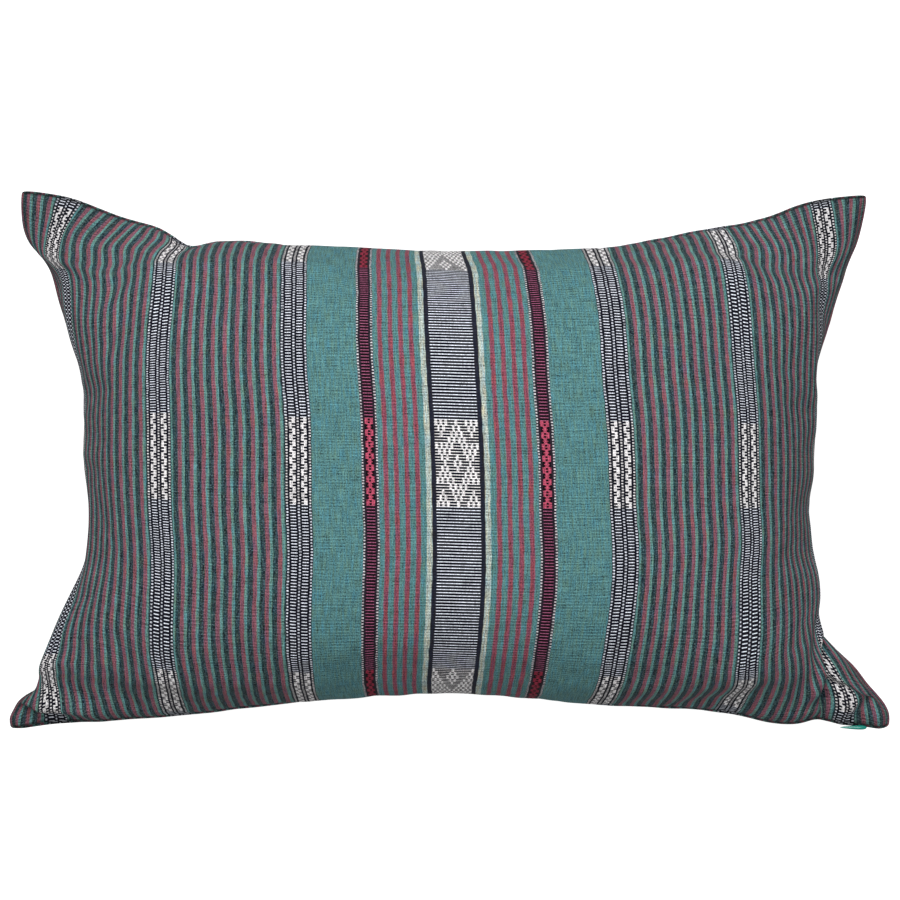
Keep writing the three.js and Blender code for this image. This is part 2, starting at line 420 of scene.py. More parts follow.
# %% [markdown]
# The drawn edge is shorter than the cloth that is sewn into it, so the seam ripples up and down. A wave
# along each edge is enough for that. Its height follows from the shortening, and it dies out about a hand's
# width into the panel.

# %% Ripples of the drawn-in seam
RIPPLE_LENGTH = 36
RIPPLE_MOST = 2.2
RIPPLE_FADE = 9
SIDE_RIPPLE_FADE = 1.6 * RIPPLE_FADE
RIPPLE_DRIFT = 1.3  # how far, in radians, a ripple strays from an even beat
DRIFT_LENGTH = 47
BOTTOM_PHASE = 0.4
TOP_PHASE = 2.1
LEFT_PHASE = 1.0
RIGHT_PHASE = 3.7


def ripple(curve, distance, phase):
    """The height along one edge, in millimetres."""
    pace = np.linalg.norm(np.gradient(curve(distance), distance, axis=0), axis=1)
    slack = np.sqrt(2 * np.clip(1 - pace**2, 0, None)) * RIPPLE_LENGTH / (2 * math.pi)
    drift = RIPPLE_DRIFT * np.sin(distance / DRIFT_LENGTH + phase)
    wave = np.sin(2 * math.pi * distance / RIPPLE_LENGTH + phase + drift)
    return np.minimum(slack, RIPPLE_MOST) * wave


def ripples():
    near_top = (0.5 + cloth_up / COVER_HEIGHT) ** RIPPLE_FADE
    near_bottom = (0.5 - cloth_up / COVER_HEIGHT) ** RIPPLE_FADE
    near_right = (0.5 + cloth_across / COVER_WIDTH) ** SIDE_RIPPLE_FADE
    near_left = (0.5 - cloth_across / COVER_WIDTH) ** SIDE_RIPPLE_FADE
    lengthwise = near_bottom * ripple(bottom, edge_across, BOTTOM_PHASE)
    lengthwise += near_top * ripple(top, edge_across, TOP_PHASE)
    upright = near_left * ripple(left, edge_up, LEFT_PHASE)[:, None]
    upright += near_right * ripple(right, edge_up, RIGHT_PHASE)[:, None]
    return lengthwise * (1 - near_left - near_right) + upright * (1 - near_top - near_bottom)


seam_ripple = ripples()
print("ripples reach", round(float(np.abs(seam_ripple).max()), 1), "mm")

# %% [markdown]
# Both panels start on the guide, one the mirror image of the other. Sewing springs could pull two panels
# together, but here they share the points of the seam, because such a seam can't open.

# %% Sew the panels
def panel_numbers():
    """Point numbers of the front and of the back panel, which share the seam."""
    front = np.arange(cloth_across.size).reshape(cloth_across.shape)
    back = front.copy()
    back[~on_seam] = cloth_across.size + np.arange(np.count_nonzero(~on_seam))
    return front, back


def quads(numbers):
    corners = (numbers[:-1, :-1], numbers[:-1, 1:], numbers[1:, 1:], numbers[1:, :-1])
    return np.stack(corners, -1).reshape(-1, 4)


def both_panels(front_points, back_points):
    return np.concatenate((front_points.reshape(-1, 3), back_points[~on_seam]))


def guided_panel(side):
    """The start of one panel in metres: side is 1 for the front and -1 for the back."""
    panel = guide.copy()
    panel[..., 2] = side * panel[..., 2] + seam_ripple
    return panel * MM


front_numbers, back_numbers = panel_numbers()
start = both_panels(guided_panel(1), guided_panel(-1))
print("sewn from", len(start), "points")

# %% [markdown]
# The seam is held and the pressure of the filling is let in, so the cloth swells and evens out. Gravity is
# left out: it is the filling that shapes a cushion. Only the swelling is kept, straight out of the cloth and
# capped, because a point that slides along the cloth would bend the stripes.

# %% Fill the cover
PRESSURE = 0.2
FRAMES = 12
SLACK = 0.008
STRAY = 3 * MM
STEPS_PER_FRAME = 5
POINT_MASS = 0.1
STRETCH_STIFFNESS = 15
SHEAR_STIFFNESS = 5
BENDING_STIFFNESS = 0.5
DAMPING = 25
AIR_DAMPING = 5


def add_cloth(sewn):
    cloth = sewn.modifiers.new("cloth", "CLOTH")
    settings = cloth.settings
    settings.vertex_group_mass = "seam"
    settings.pin_stiffness = 1
    settings.quality = STEPS_PER_FRAME
    settings.mass = POINT_MASS
    settings.tension_stiffness = STRETCH_STIFFNESS
    settings.compression_stiffness = STRETCH_STIFFNESS
    settings.shear_stiffness = SHEAR_STIFFNESS
    settings.bending_stiffness = BENDING_STIFFNESS
    settings.tension_damping = DAMPING
    settings.compression_damping = DAMPING
    settings.shear_damping = DAMPING
    settings.air_damping = AIR_DAMPING
    settings.shrink_min = -SLACK
    settings.use_pressure = True
    settings.uniform_pressure_force = PRESSURE
    settings.effector_weights.gravity = 0
    cloth.collision_settings.use_collision = False
    cloth.point_cache.frame_end = FRAMES


def fill_cover():
    """Runs the cloth simulation and returns the points of both panels in metres."""
    mesh = bpy.data.meshes.new("sewn_panels")
    faces = np.concatenate((quads(front_numbers), quads(back_numbers)[:, ::-1]))
    mesh.from_pydata(start.tolist(), [], faces.tolist())
    normals = np.array([normal.vector for normal in mesh.vertex_normals])
    sewn = bpy.data.objects.new("sewn_panels", mesh)
    scene.collection.objects.link(sewn)
    seam = sewn.vertex_groups.new(name="seam")
    seam.add(front_numbers[on_seam].tolist(), 1, "REPLACE")
    add_cloth(sewn)
    for step in range(1, FRAMES + 1):
        scene.frame_set(step)
    settled = sewn.evaluated_get(bpy.context.evaluated_depsgraph_get()).data
    points = np.empty(len(settled.vertices) * 3)
    settled.vertices.foreach_get("co", points)
    bpy.data.objects.remove(sewn)
    bpy.data.meshes.remove(mesh)
    scene.frame_set(1)
    swell = np.sum((points.reshape(-1, 3) - start) * normals, axis=1, keepdims=True)
    print("swells by", np.round(swell.mean() / MM, 1), "mm, at most", np.round(swell.max() / MM, 1), "mm")
    return start + normals * np.clip(swell, -STRAY, STRAY)


filled = fill_cover()
front = filled[front_numbers]
back = filled[back_numbers]
middle = (cells_up // 2, cells_across // 2)
print("crown", np.round(front[middle] / MM, 1), "back", np.round(back[middle] / MM, 1))

# %% [markdown]
# The seam is lifted to its height above the floor, and the back is pressed flat where it would sink into
# it. A collision with the floor could do the same, but a formula is quicker and always gives the same
# result.

# %% Lay the cushion on its back
REST_SOFTNESS = 3 * MM

front += (0, table_shift, SEAM_HEIGHT)
back += (0, table_shift, SEAM_HEIGHT)
pressed = REST_SOFTNESS * (np.logaddexp(0, back[..., 2] / REST_SOFTNESS) - math.log(2))
back[..., 2] = np.maximum(pressed, 0)
print("front reaches", round(float(front[..., 2].max() / MM), 1), "mm")

# %% [markdown]
# The sewn edge is turned, so from the front a narrow roll of the back panel shows outside a sunk seam line.
# Bump in the material could draw that line, but the outline would stay a knife's edge. So the last points
# of the front are pulled in and down a little, and a ring of new points makes the roll.

# %% The turned edge
ROLL = 3 * MM
SINK = 1.6 * MM


def outward(points):
    """The direction out of the outline, level with the floor, along a closed ring of points."""
    along = np.roll(points, -1, 0) - np.roll(points, 1, 0)
    out = np.column_stack((along[:, 1], -along[:, 0], np.zeros(len(along))))
    return out / np.linalg.norm(out, axis=1, keepdims=True)


def ring_of(grid):
    """The seam of a panel as one closed walk, counter-clockwise from the lower left corner."""
    return np.concatenate((grid[0, :-1], grid[:-1, -1], grid[-1, :0:-1], grid[:0:-1, 0]))


ring_numbers = ring_of(front_numbers)
ring = ring_of(front)
half_roll = outward(ring) * ROLL / 2
roll_points = ring + half_roll
ring_cloth = np.column_stack((ring_of(cloth_across), ring_of(cloth_up)))
front.reshape(-1, 3)[ring_numbers] = ring - half_roll - (0, 0, SINK)
roll_numbers = back_numbers.max() + 1 + np.arange(len(ring_numbers))
rolled = back_numbers.copy()
rolled.reshape(-1)[ring_numbers] = roll_numbers
print("edge of", len(ring_numbers), "points")

# %% [markdown]
# Now the mesh of the cover. The front, the roll and the back share their points, so it is one closed skin,
# and one subdivision rounds the cells off.

# %% The cover's mesh
points = np.concatenate((both_panels(front, back), roll_points))
strip = np.stack((ring_numbers, roll_numbers, np.roll(roll_numbers, -1), np.roll(ring_numbers, -1)), -1)
front_faces = quads(front_numbers)
faces = np.concatenate((front_faces, strip, quads(rolled)[:, ::-1]))
cover_mesh = bpy.data.meshes.new("cover")
cover_mesh.from_pydata(points.tolist(), [], faces.tolist())
cover_mesh.shade_smooth()
cover = bpy.data.objects.new("cover", cover_mesh)
scene.collection.objects.link(cover)
finer = cover.modifiers.new("finer", "SUBSURF")
finer.levels = finer.render_levels = 1
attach(cover, "root")
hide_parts("filled_cover")
print("cover of", len(faces), "faces")

# %% [markdown]
# The map named cloth holds the place of each point on the flat cloth, in metres, so the woven pattern is
# drawn where the loom put it and bends with every fold. An automatic unwrap would only come near to that. A
# second map lays both panels above each other without overlap.

# %% The cover's maps
BACK_SHIFT = -2.4  # the back panel was cut a little to one side, so a red stripe lies along the right edge
MAP_SIDE = 0.83
BACK_ROW = 0.5  # the back panel takes the upper half of the second map

place_on_cloth = np.zeros((len(points), 2))
flat_points = np.stack((cloth_across, cloth_up), -1)
place_on_cloth[front_numbers.ravel()] = flat_points.reshape(-1, 2)
place_on_cloth[back_numbers[~on_seam]] = flat_points[~on_seam]
half = np.array((COVER_WIDTH, COVER_HEIGHT)) / 2
place_on_cloth[roll_numbers] = np.clip(ring_cloth, ROLL / MM - half, half - ROLL / MM)
is_back = np.repeat(np.arange(len(faces)) >= len(front_faces), 4)
cloth_map = place_on_cloth[faces.ravel()] * MM
bake_map = (cloth_map + half * MM) / MAP_SIDE
bake_map[is_back, 1] += BACK_ROW
cloth_map[is_back, 0] += BACK_SHIFT * MM
for name, values in (("cloth", cloth_map), ("OFBake", bake_map)):
    cover_mesh.uv_layers.new(name=name).uv.foreach_set("vector", values.ravel().astype(np.float32))
print("maps:", [layer.name for layer in cover_mesh.uv_layers])

# %% [markdown]
# The zip's pull is a small drop of enamelled metal that peeks out under the bottom seam. A stretched sphere
# would be alike at both ends, so it is a row of round sections that grow from a thin end to a blunt one.

# %% The zip pull
PULL_SECTIONS = 28
PULL_SIDES = 20
PULL_LIFT = 0.5 * MM  # its upper edge hides behind the hem
PULL_FIT = 0.96  # the share of the packed depth that the drop fills
PULL_SLOPE = 0.04  # the share of it that the blunt end hangs lower
PULL_FULLNESS = 1.25
THIN_POWER = 0.55
BLUNT_POWER = 7

pull_low, pull_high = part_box("zip_pull")
pull_size = pull_high - pull_low


def pull_point(share, turn):
    """A point of the drop: share runs from its thin end to its blunt end, turn goes round it."""
    swell = share**THIN_POWER * math.sqrt(max(0, 1 - share**BLUNT_POWER))
    half_depth = pull_size.y * PULL_FIT / 2
    half_thick = pull_size.z * min(1, PULL_FULLNESS * swell) / 2
    middle_line = pull_high.y + PULL_LIFT - half_depth - pull_size.y * PULL_SLOPE * share
    return (
        pull_low.x + share * pull_size.x,
        middle_line + half_depth * swell * math.cos(turn),
        (pull_low.z + pull_high.z) / 2 + half_thick * math.sin(turn),
    )


def pull_piece():
    shares = [0.5 - 0.5 * math.cos(math.pi * i / PULL_SECTIONS) for i in range(1, PULL_SECTIONS)]
    turns = [2 * math.pi * i / PULL_SIDES for i in range(PULL_SIDES)]
    points = [pull_point(share, turn) for share in shares for turn in turns]
    points += [pull_point(0, 0), pull_point(1, 0)]
    thin_end, blunt_end = len(points) - 2, len(points) - 1
    last = len(points) - 2 - PULL_SIDES
    faces = []
    for i in range(PULL_SIDES):
        j = (i + 1) % PULL_SIDES
        faces.append((thin_end, i, j))
        faces.append((blunt_end, last + j, last + i))
        for section in range(0, last, PULL_SIDES):
            further = section + PULL_SIDES
            faces.append((section + i, further + i, further + j, section + j))
    mesh = bpy.data.meshes.new("pull")
    mesh.from_pydata(points, [], faces)
    mesh.shade_smooth()
    piece = bpy.data.objects.new("pull", mesh)
    scene.collection.objects.link(piece)
    return piece


pull = pull_piece()
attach(pull, "root")
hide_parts("zip_pull")
print("pull of", len(pull.data.polygons), "faces")

# %% [markdown]
# The cloth is drawn by arithmetic on its own threads. A picture of cloth is the common way, but a formula
# stays sharp from close by and its sizes can be read. A field is a number or a colour that varies over the
# cloth. This small class turns plain sums and comparisons into shader nodes.

# %% Arithmetic with nodes
def feed(tree, socket, value):
    if isinstance(value, Field):
        tree.links.new(value.socket, socket)
    else:
        socket.default_value = value


class Field:
    def __init__(self, tree, socket):
        self.tree = tree
        self.socket = socket

    def math(self, operation, *values):
        node = self.tree.nodes.new("ShaderNodeMath")
        node.operation = operation
        for socket, value in zip(node.inputs, values):
            feed(self.tree, socket, value)
        return Field(self.tree, node.outputs[0])

    def __add__(self, other):
        return self.math("ADD", self, other)

    def __sub__(self, other):
        return self.math("SUBTRACT", self, other)

    def __rsub__(self, other):
        return self.math("SUBTRACT", other, self)

    def __mul__(self, other):
        return self.math("MULTIPLY", self, other)

    def __truediv__(self, other):
        return self.math("DIVIDE", self, other)

    def __mod__(self, other):
        return self.math("FLOORED_MODULO", self, other)

    def __lt__(self, other):
        return self.math("LESS_THAN", self, other)

    def __gt__(self, other):
        return self.math("GREATER_THAN", self, other)

    def __and__(self, other):
        return self.math("MULTIPLY", self, other)

    def __or__(self, other):
        return self.math("MAXIMUM", self, other)

    def __invert__(self):
        return self.math("SUBTRACT", 1, self)

    def __abs__(self):
        return self.math("ABSOLUTE", self)

    def floor(self):
        return self.math("FLOOR", self)

    def wave(self):
        return self.math("SINE", self)

    def root(self):
        return self.math("SQRT", self)

    def least(self, other):
        return self.math("MINIMUM", self, other)


print("a field has", len([name for name in vars(Field) if callable(vars(Field)[name])]), "methods")

# %% [markdown]
# A few helpers use these fields. A mask is 1 inside a shape and 0 outside, with an edge as soft as yarn.
# Grain is a random field in patches, and it can be long and thin, as a streak along a thread is.

# %% Masks and grain
CHART_MATCH = 0.2
NOISE_MIDDLE = 0.5
NOISE_SPREAD = 4


def choose(mask, yes, no):
    """yes where the mask is 1, and no where it is 0. At least one of them is a field."""
    if isinstance(yes, Field):
        return mask * (yes - no) + no
    return (no - yes) * ~mask + yes


def within(value, reach, softness):
    """1 where the size of value stays under reach, with a soft edge, and 0 beyond."""
    node = value.tree.nodes.new("ShaderNodeMapRange")
    node.interpolation_type = "SMOOTHSTEP"
    feed(value.tree, node.inputs["Value"], abs(value))
    node.inputs["From Min"].default_value = reach - softness
    node.inputs["From Max"].default_value = reach + softness
    node.inputs["To Min"].default_value = 1
    node.inputs["To Max"].default_value = 0
    return Field(value.tree, node.outputs["Result"])


def same(value, other):
    return abs(value - other) < CHART_MATCH


def grain(across, along, patch):
    """A soft random field of about -1 to 1. patch is its size across and along, in millimetres."""
    tree = across.tree
    place = tree.nodes.new("ShaderNodeCombineXYZ")
    feed(tree, place.inputs["X"], across / patch[0])
    feed(tree, place.inputs["Y"], along / patch[1])
    noise = tree.nodes.new("ShaderNodeTexNoise")
    noise.noise_dimensions = "2D"
    noise.inputs["Scale"].default_value = 1
    noise.inputs["Detail"].default_value = 0
    tree.links.new(place.outputs[0], noise.inputs["Vector"])
    return (Field(tree, noise.outputs["Fac"]) - NOISE_MIDDLE) * NOISE_SPREAD


print("noise is spread", NOISE_SPREAD, "times")

# %% [markdown]
# Colours are written as they look on a screen and turned into the even scale that light follows.
# Paint lays one colour over another through a mask, and dye makes the parts of a colour stronger or weaker.

# %% Colours
def linear(*screen):
    """A colour as seen on a screen, in parts of 0 to 255, as the shader wants it."""
    shares = [part / 255 for part in screen]
    light = [((s + 0.055) / 1.055) ** 2.4 if s > 0.04045 else s / 12.92 for s in shares]
    return (*light, 1)


def paint(base, mask, colour):
    """base, with colour where the mask is 1."""
    node = mask.tree.nodes.new("ShaderNodeMix")
    node.data_type = "RGBA"
    feed(mask.tree, node.inputs["Factor"], mask)
    feed(mask.tree, node.inputs["A"], base)
    feed(mask.tree, node.inputs["B"], colour)
    return Field(mask.tree, node.outputs["Result"])


def dye(colour, red, green, blue):
    """colour, with each of its three parts made that many times as strong."""
    tree = colour.tree
    strength = tree.nodes.new("ShaderNodeCombineXYZ")
    for socket, share in zip(strength.inputs, (red, green, blue)):
        feed(tree, socket, share)
    dyed = tree.nodes.new("ShaderNodeVectorMath")
    dyed.operation = "MULTIPLY"
    feed(tree, dyed.inputs[0], colour)
    tree.links.new(strength.outputs["Vector"], dyed.inputs[1])
    return Field(tree, dyed.outputs["Vector"])


print("half grey is", [round(part, 3) for part in linear(128, 128, 128)])

# %% [markdown]
# Each part of the pattern becomes a node group with named inputs and outputs. All of it could sit in one
# material, but a group is one box, which can be opened, checked and placed again.

# %% Node groups
def node_group(name, inputs, outputs, make):
    """A shader node group with number inputs. outputs gives each output's name and kind of socket."""
    tree = bpy.data.node_groups.new(name, "ShaderNodeTree")
    for label in inputs:
        tree.interface.new_socket(label, in_out="INPUT", socket_type="NodeSocketFloat")
    for label, kind in outputs.items():
        tree.interface.new_socket(label, in_out="OUTPUT", socket_type="NodeSocket" + kind)
    entry = tree.nodes.new("NodeGroupInput")
    leave = tree.nodes.new("NodeGroupOutput")
    made = make(*(Field(tree, entry.outputs[label]) for label in inputs))
    for label, value in zip(outputs, made):
        feed(tree, leave.inputs[label], value)
    print(name, "is a group of", len(tree.nodes), "nodes")
    return tree


def place_group(group, *values):
    """Puts a group in the tree of its first value and returns its outputs."""
    tree = values[0].tree
    node = tree.nodes.new("ShaderNodeGroup")
    node.node_tree = group
    for socket, value in zip(node.inputs, values):
        feed(tree, socket, value)
    return [Field(tree, socket) for socket in node.outputs]


# %% [markdown]
# Every pick of the weft shows as one light and one dark line. In three places the weaver floats extra white
# yarn over the bands to make a motif: at the middle and near both ends, with plain picks between. One group
# counts the picks for all the bands, so that they keep step, as they do on a loom.

# %% Picks of the weft
MOTIF_PICKS = 30
MOTIF_PICK = 1.84
PLAIN_PICKS = 57
PLAIN_PICK = 1.98
MOTIF_MIDDLE = 1
DARK_HALF = 0.355  # as a share of a pick
DOT_HEIGHT_HALF = 0.24
PICK_SOFTNESS = 0.08
MOTIF = MOTIF_PICKS * MOTIF_PICK
REPEAT = MOTIF + PLAIN_PICKS * PLAIN_PICK


def weft(along):
    repeat = (along + (MOTIF / 2 - MOTIF_MIDDLE)) % REPEAT
    motif = repeat < MOTIF
    pick = choose(motif, repeat / MOTIF_PICK, (repeat - MOTIF) / PLAIN_PICK + MOTIF_PICKS)
    from_middle = pick % 1 - 0.5
    dark = within(from_middle, DARK_HALF, PICK_SOFTNESS)
    dot = within(from_middle, DOT_HEIGHT_HALF, PICK_SOFTNESS)
    pair = (pick / 2).floor()
    return dark, dot, motif, pair


weft_group = node_group(
    "picks_of_the_weft",
    ["Along"],
    {"Dark": "Float", "Dot": "Float", "Motif": "Float", "Pair": "Float"},
    weft,
)
print("one repeat is", REPEAT, "mm")

# %% [markdown]
# The middle band has white bars with a diamond motif. A float lies on every other half column, one chart row
# to two picks. Counted from the motif's middle, the chart is diamonds and triangles, so it is written as
# such.

# %% The middle band
MIDDLE_HALF = 14.1
COLUMN = 3.26
FLOAT_HALF = 0.25
MIDDLE_PAIR = 7
BAND_SOFTNESS = 0.3
INNER_DIAMOND = 2.5  # this and the next three are in columns from the middle
OUTER_DIAMOND = 3.5
HEART = 0.5
SIDE_COLUMN = 3
INNER_ROWS = 5.5  # this and the next three are in rows from the middle
OUTER_FROM = 0.5
HEART_ROWS = 1.5
WAIST_ROWS = 3.5
WAIST_INSET = 0.3
CORNER_INSET = 2.3
END_TRIANGLE = 3.8
END_DIAMOND_HALF = 2  # in rows


def middle_chart(column, row):
    rise = column + row / 2
    inner_diamond = same(rise, INNER_DIAMOND) & (row < INNER_ROWS)
    outer_diamond = same(rise, OUTER_DIAMOND) & (row > OUTER_FROM)
    heart = same(rise, HEART) & (row < HEART_ROWS)
    from_side = abs(column - SIDE_COLUMN)
    waist = (from_side < row / 2 - WAIST_INSET) & (row < WAIST_ROWS)
    corner = from_side < row / 2 - CORNER_INSET
    return inner_diamond | outer_diamond | heart | waist | corner


def end_chart(column, row):
    small_diamond = column < (END_DIAMOND_HALF - abs(row - END_DIAMOND_HALF)) / 2 + CHART_MATCH
    side_triangle = column > END_TRIANGLE - row / 2
    return small_diamond | side_triangle


def middle_band(across, along, dark, motif, pair):
    column = abs(across) / COLUMN
    row = abs(pair - MIDDLE_PAIR)
    end_row = choose(along > 0, pair, 2 * MIDDLE_PAIR - pair)
    central = abs(along - MOTIF_MIDDLE) < REPEAT / 2
    offset = choose(central, row / 2 + 0.5, end_row / 2)
    nearest = (column - offset + 0.5).floor() + offset
    floated = within(column - nearest, FLOAT_HALF, PICK_SOFTNESS)
    chart = choose(central, middle_chart(nearest, row), end_chart(nearest, end_row))
    white = ~dark | (motif & floated & chart)
    return white, within(across, MIDDLE_HALF, BAND_SOFTNESS)


middle_group = node_group(
    "middle_band",
    ["Across", "Along", "Dark", "Motif", "Pair"],
    {"White": "Float", "Band": "Float"},
    middle_band,
)

# %% [markdown]
# Three narrow double bands lie on each side, all alike: two columns of white bars between dotted lines. In
# the motif each column turns into a zigzag, one half white and the other still barred, in turns. Only one
# band is drawn, and a remainder repeats it across the cloth.

# %% The double bands
BAND_PITCH = 94.8
FIRST_BAND = 104.6
BAND_HALF = 8.9
BAR_MIDDLE = 3.85
BAR_HALF = 1.95
DOT_LINE = 7.8
DOT_HALF = 0.65
BAR_SOFTNESS = 0.2


def double_band(across, dark, dot, motif, pair):
    first = choose(across > 0, FIRST_BAND, across * 0 - FIRST_BAND)
    offset = (across - first + BAND_PITCH / 2) % BAND_PITCH - BAND_PITCH / 2
    in_bar = choose(offset > 0, offset - BAR_MIDDLE, offset + BAR_MIDDLE)
    odd = pair % 2 > 0.5
    solid = motif & choose(odd, in_bar < 0, in_bar > 0)
    bars = within(in_bar, BAR_HALF, BAR_SOFTNESS) & (~dark | solid)
    middle_dots = within(offset, DOT_HALF, BAR_SOFTNESS)
    outer_dots = within(abs(offset) - DOT_LINE, DOT_HALF, BAR_SOFTNESS)
    dots = (middle_dots | outer_dots) & dot
    outside_middle = abs(across) > FIRST_BAND - BAND_PITCH / 2
    return bars | dots, within(offset, BAND_HALF, BAND_SOFTNESS) & outside_middle


double_group = node_group(
    "double_band",
    ["Across", "Dark", "Dot", "Motif", "Pair"],
    {"White": "Float", "Band": "Float"},
    double_band,
)

# %% [markdown]
# A burgundy band lies on each side of the middle: fine bars between two dotted lines, with a pink motif
# at the middle and the same motif in a deeper crimson near both ends.

# %% The burgundy bands
BURGUNDY_MIDDLE = 56.7
BURGUNDY_HALF = 5.5
CORE_HALF = 2.75
CORE_SOFTNESS = 0.25
BURGUNDY_DOTS = 4.8
LEG_MIDDLE = 1.7
LEG_HALF = 0.95
KNOT_HALF = 1.0

BURGUNDY_DARK = linear(20, 6, 16)
BURGUNDY_LIGHT = linear(162, 90, 122)
BURGUNDY_EDGE = linear(44, 34, 46)
PINK = linear(196, 84, 110)
CRIMSON = linear(150, 44, 66)
DOT_WHITE = linear(225, 222, 226)


def burgundy_band(across, along, dark, dot, motif, pair):
    offset = abs(across) - BURGUNDY_MIDDLE
    core = within(offset, CORE_HALF, CORE_SOFTNESS)
    odd = pair % 2 > 0.5
    legs = within(abs(offset) - LEG_MIDDLE, LEG_HALF, BAR_SOFTNESS)
    knot = within(offset, KNOT_HALF, BAR_SOFTNESS)
    light_pick = ~dark & choose(odd, within(offset, LEG_MIDDLE, BAND_SOFTNESS), core)
    figure = motif & core & (light_pick | choose(odd, knot, legs))
    bars = core & ~dark & ~motif
    dots = within(abs(offset) - BURGUNDY_DOTS, DOT_HALF, BAR_SOFTNESS) & dot
    central = abs(along - MOTIF_MIDDLE) < REPEAT / 2
    colour = paint(BURGUNDY_EDGE, core, BURGUNDY_DARK)
    colour = paint(colour, bars, BURGUNDY_LIGHT)
    colour = paint(colour, figure, paint(CRIMSON, central, PINK))
    colour = paint(colour, dots, DOT_WHITE)
    return colour, within(offset, BURGUNDY_HALF, BAND_SOFTNESS)


burgundy_group = node_group(
    "burgundy_band",
    ["Across", "Along", "Dark", "Dot", "Motif", "Pair"],
    {"Colour": "Color", "Band": "Float"},
    burgundy_band,
)

# %% [markdown]
# The ground of the cloth is warp stripes. Near the middle a teal field carries navy, mint and four reds on
# each side. Outside the first double band a narrow repeat of red, light teal, green and slate runs to the
# edge. Deep threads and pale ticks of the weft enliven the dark stripes, and every dye drifts along its
# thread.

# %% The striped ground
NAVY_OUT = 17.1
MINT_OUT = 20.6
RED_FIRST = 26.0
RED_COUNT = 4
RED_PITCH = 6.8
RED_HALF = 1.5
RED_SOFTNESS = 0.5
STRIPE_START = 4.9
STRIPE_PITCH = 8.3
STRIPE_RED = 2.8
STRIPE_LIGHT = 4.85
STRIPE_GREEN = 6.5
STRIPE_SOFTNESS = 0.25
DEEP_THREAD = (0.6, 7)
DEEP_FROM = -0.3
PALE_TICK = (1.3, 0.65)
PALE_FROM = 0.5
DYE_PATCH = (1.1, 10)
DYE_DRIFT = 0.12

TEAL = linear(92, 140, 142)
FIELD_RED = linear(150, 80, 96)
MINT = linear(186, 198, 190)
NAVY = linear(36, 38, 52)
STRIPE_RED_COLOUR = linear(144, 92, 106)
LIGHT_TEAL = linear(104, 150, 146)
DARK_GREEN = linear(46, 78, 78)
SLATE = linear(63, 76, 85)
PALE_FIBRE = linear(82, 106, 109)
DEEP_FIBRE = linear(27, 41, 50)


def middle_field(reach):
    red_place = (reach - RED_FIRST + RED_PITCH / 2) % RED_PITCH - RED_PITCH / 2
    red_zone = (reach > RED_FIRST - RED_PITCH / 2) & (reach < RED_FIRST + (RED_COUNT - 0.5) * RED_PITCH)
    field = paint(TEAL, within(red_place, RED_HALF, RED_SOFTNESS) & red_zone, FIELD_RED)
    field = paint(field, within(reach, MINT_OUT, STRIPE_SOFTNESS), MINT)
    return paint(field, within(reach, NAVY_OUT, STRIPE_SOFTNESS), NAVY)


def outer_stripes(across, along):
    right_start = FIRST_BAND + BAND_HALF
    left_start = across * 0 - FIRST_BAND - BAND_PITCH + BAND_HALF
    inside = (across - choose(across > 0, right_start, left_start)) % BAND_PITCH
    place = (inside - STRIPE_START) % STRIPE_PITCH
    stripes = paint(SLATE, place < STRIPE_GREEN, DARK_GREEN)
    stripes = paint(stripes, grain(across, along, DEEP_THREAD) < DEEP_FROM, DEEP_FIBRE)
    stripes = paint(stripes, grain(across, along, PALE_TICK) > PALE_FROM, PALE_FIBRE)
    for width, colour in ((STRIPE_LIGHT, LIGHT_TEAL), (STRIPE_RED, STRIPE_RED_COLOUR)):
        stripes = paint(stripes, within(place - width / 2, width / 2, STRIPE_SOFTNESS), colour)
    return stripes


def striped_ground(across, along):
    reach = abs(across)
    colour = paint(outer_stripes(across, along), reach < FIRST_BAND, middle_field(reach))
    warmth = grain(across, along, DYE_PATCH) * DYE_DRIFT
    return [dye(colour, warmth + 1, 1, 1 - warmth)]


ground_group = node_group("striped_ground", ["Across", "Along"], {"Colour": "Color"}, striped_ground)

# %% [markdown]
# Hand-spun yarn is uneven, so threads wander a little and each takes the dye its own way. One group moves
# the threads before anything is drawn on them, and another gives the tint and the height of the weave.

# %% Wandering threads and the weave
WARP_SWAYS = [(90, 31, 0.4), (-40, 13, 0.2)]  # for one radian across, along, and height
WEFT_SWAY = (37, 80, 0.35)
WEFT_BEAT = (9, 0.12)  # for one radian across, and height
WANDER_PATCH = (2.5, 7)
WANDER = 0.16
WARP_PATCH = (0.8, 14)
WARP_TINT = 0.17
WEFT_PATCH = (12, 0.8)
WEFT_TINT = 0.15
FLECK_PATCH = (0.75, 0.85)
FLECK_TINT = 0.34
DARK_PICK = 0.34
LIGHT_PICK = 1.23


def sway(across, along, radian_across, radian_along, height):
    return (along / radian_along + across / radian_across).wave() * height


def wandering(across, along):
    long_sway, short_sway = (sway(across, along, *numbers) for numbers in WARP_SWAYS)
    quick = grain(across, along, WANDER_PATCH) * WANDER
    dip = sway(across, along, *WEFT_SWAY) + (across / WEFT_BEAT[0]).wave() * WEFT_BEAT[1]
    return across + (long_sway + short_sway) + quick, along + dip


def weave(across, along, dark):
    warp_tint = grain(across, along, WARP_PATCH) * WARP_TINT
    weft_tint = grain(across, along, WEFT_PATCH) * WEFT_TINT
    fleck = grain(across, along, FLECK_PATCH) * FLECK_TINT
    tint = warp_tint + weft_tint + fleck - dark * DARK_PICK + LIGHT_PICK
    return tint, ~dark


wander_group = node_group(
    "wandering_threads", ["Across", "Along"], {"Across": "Float", "Along": "Float"}, wandering
)
weave_group = node_group(
    "plain_weave", ["Across", "Along", "Dark"], {"Tint": "Float", "Height": "Float"}, weave
)
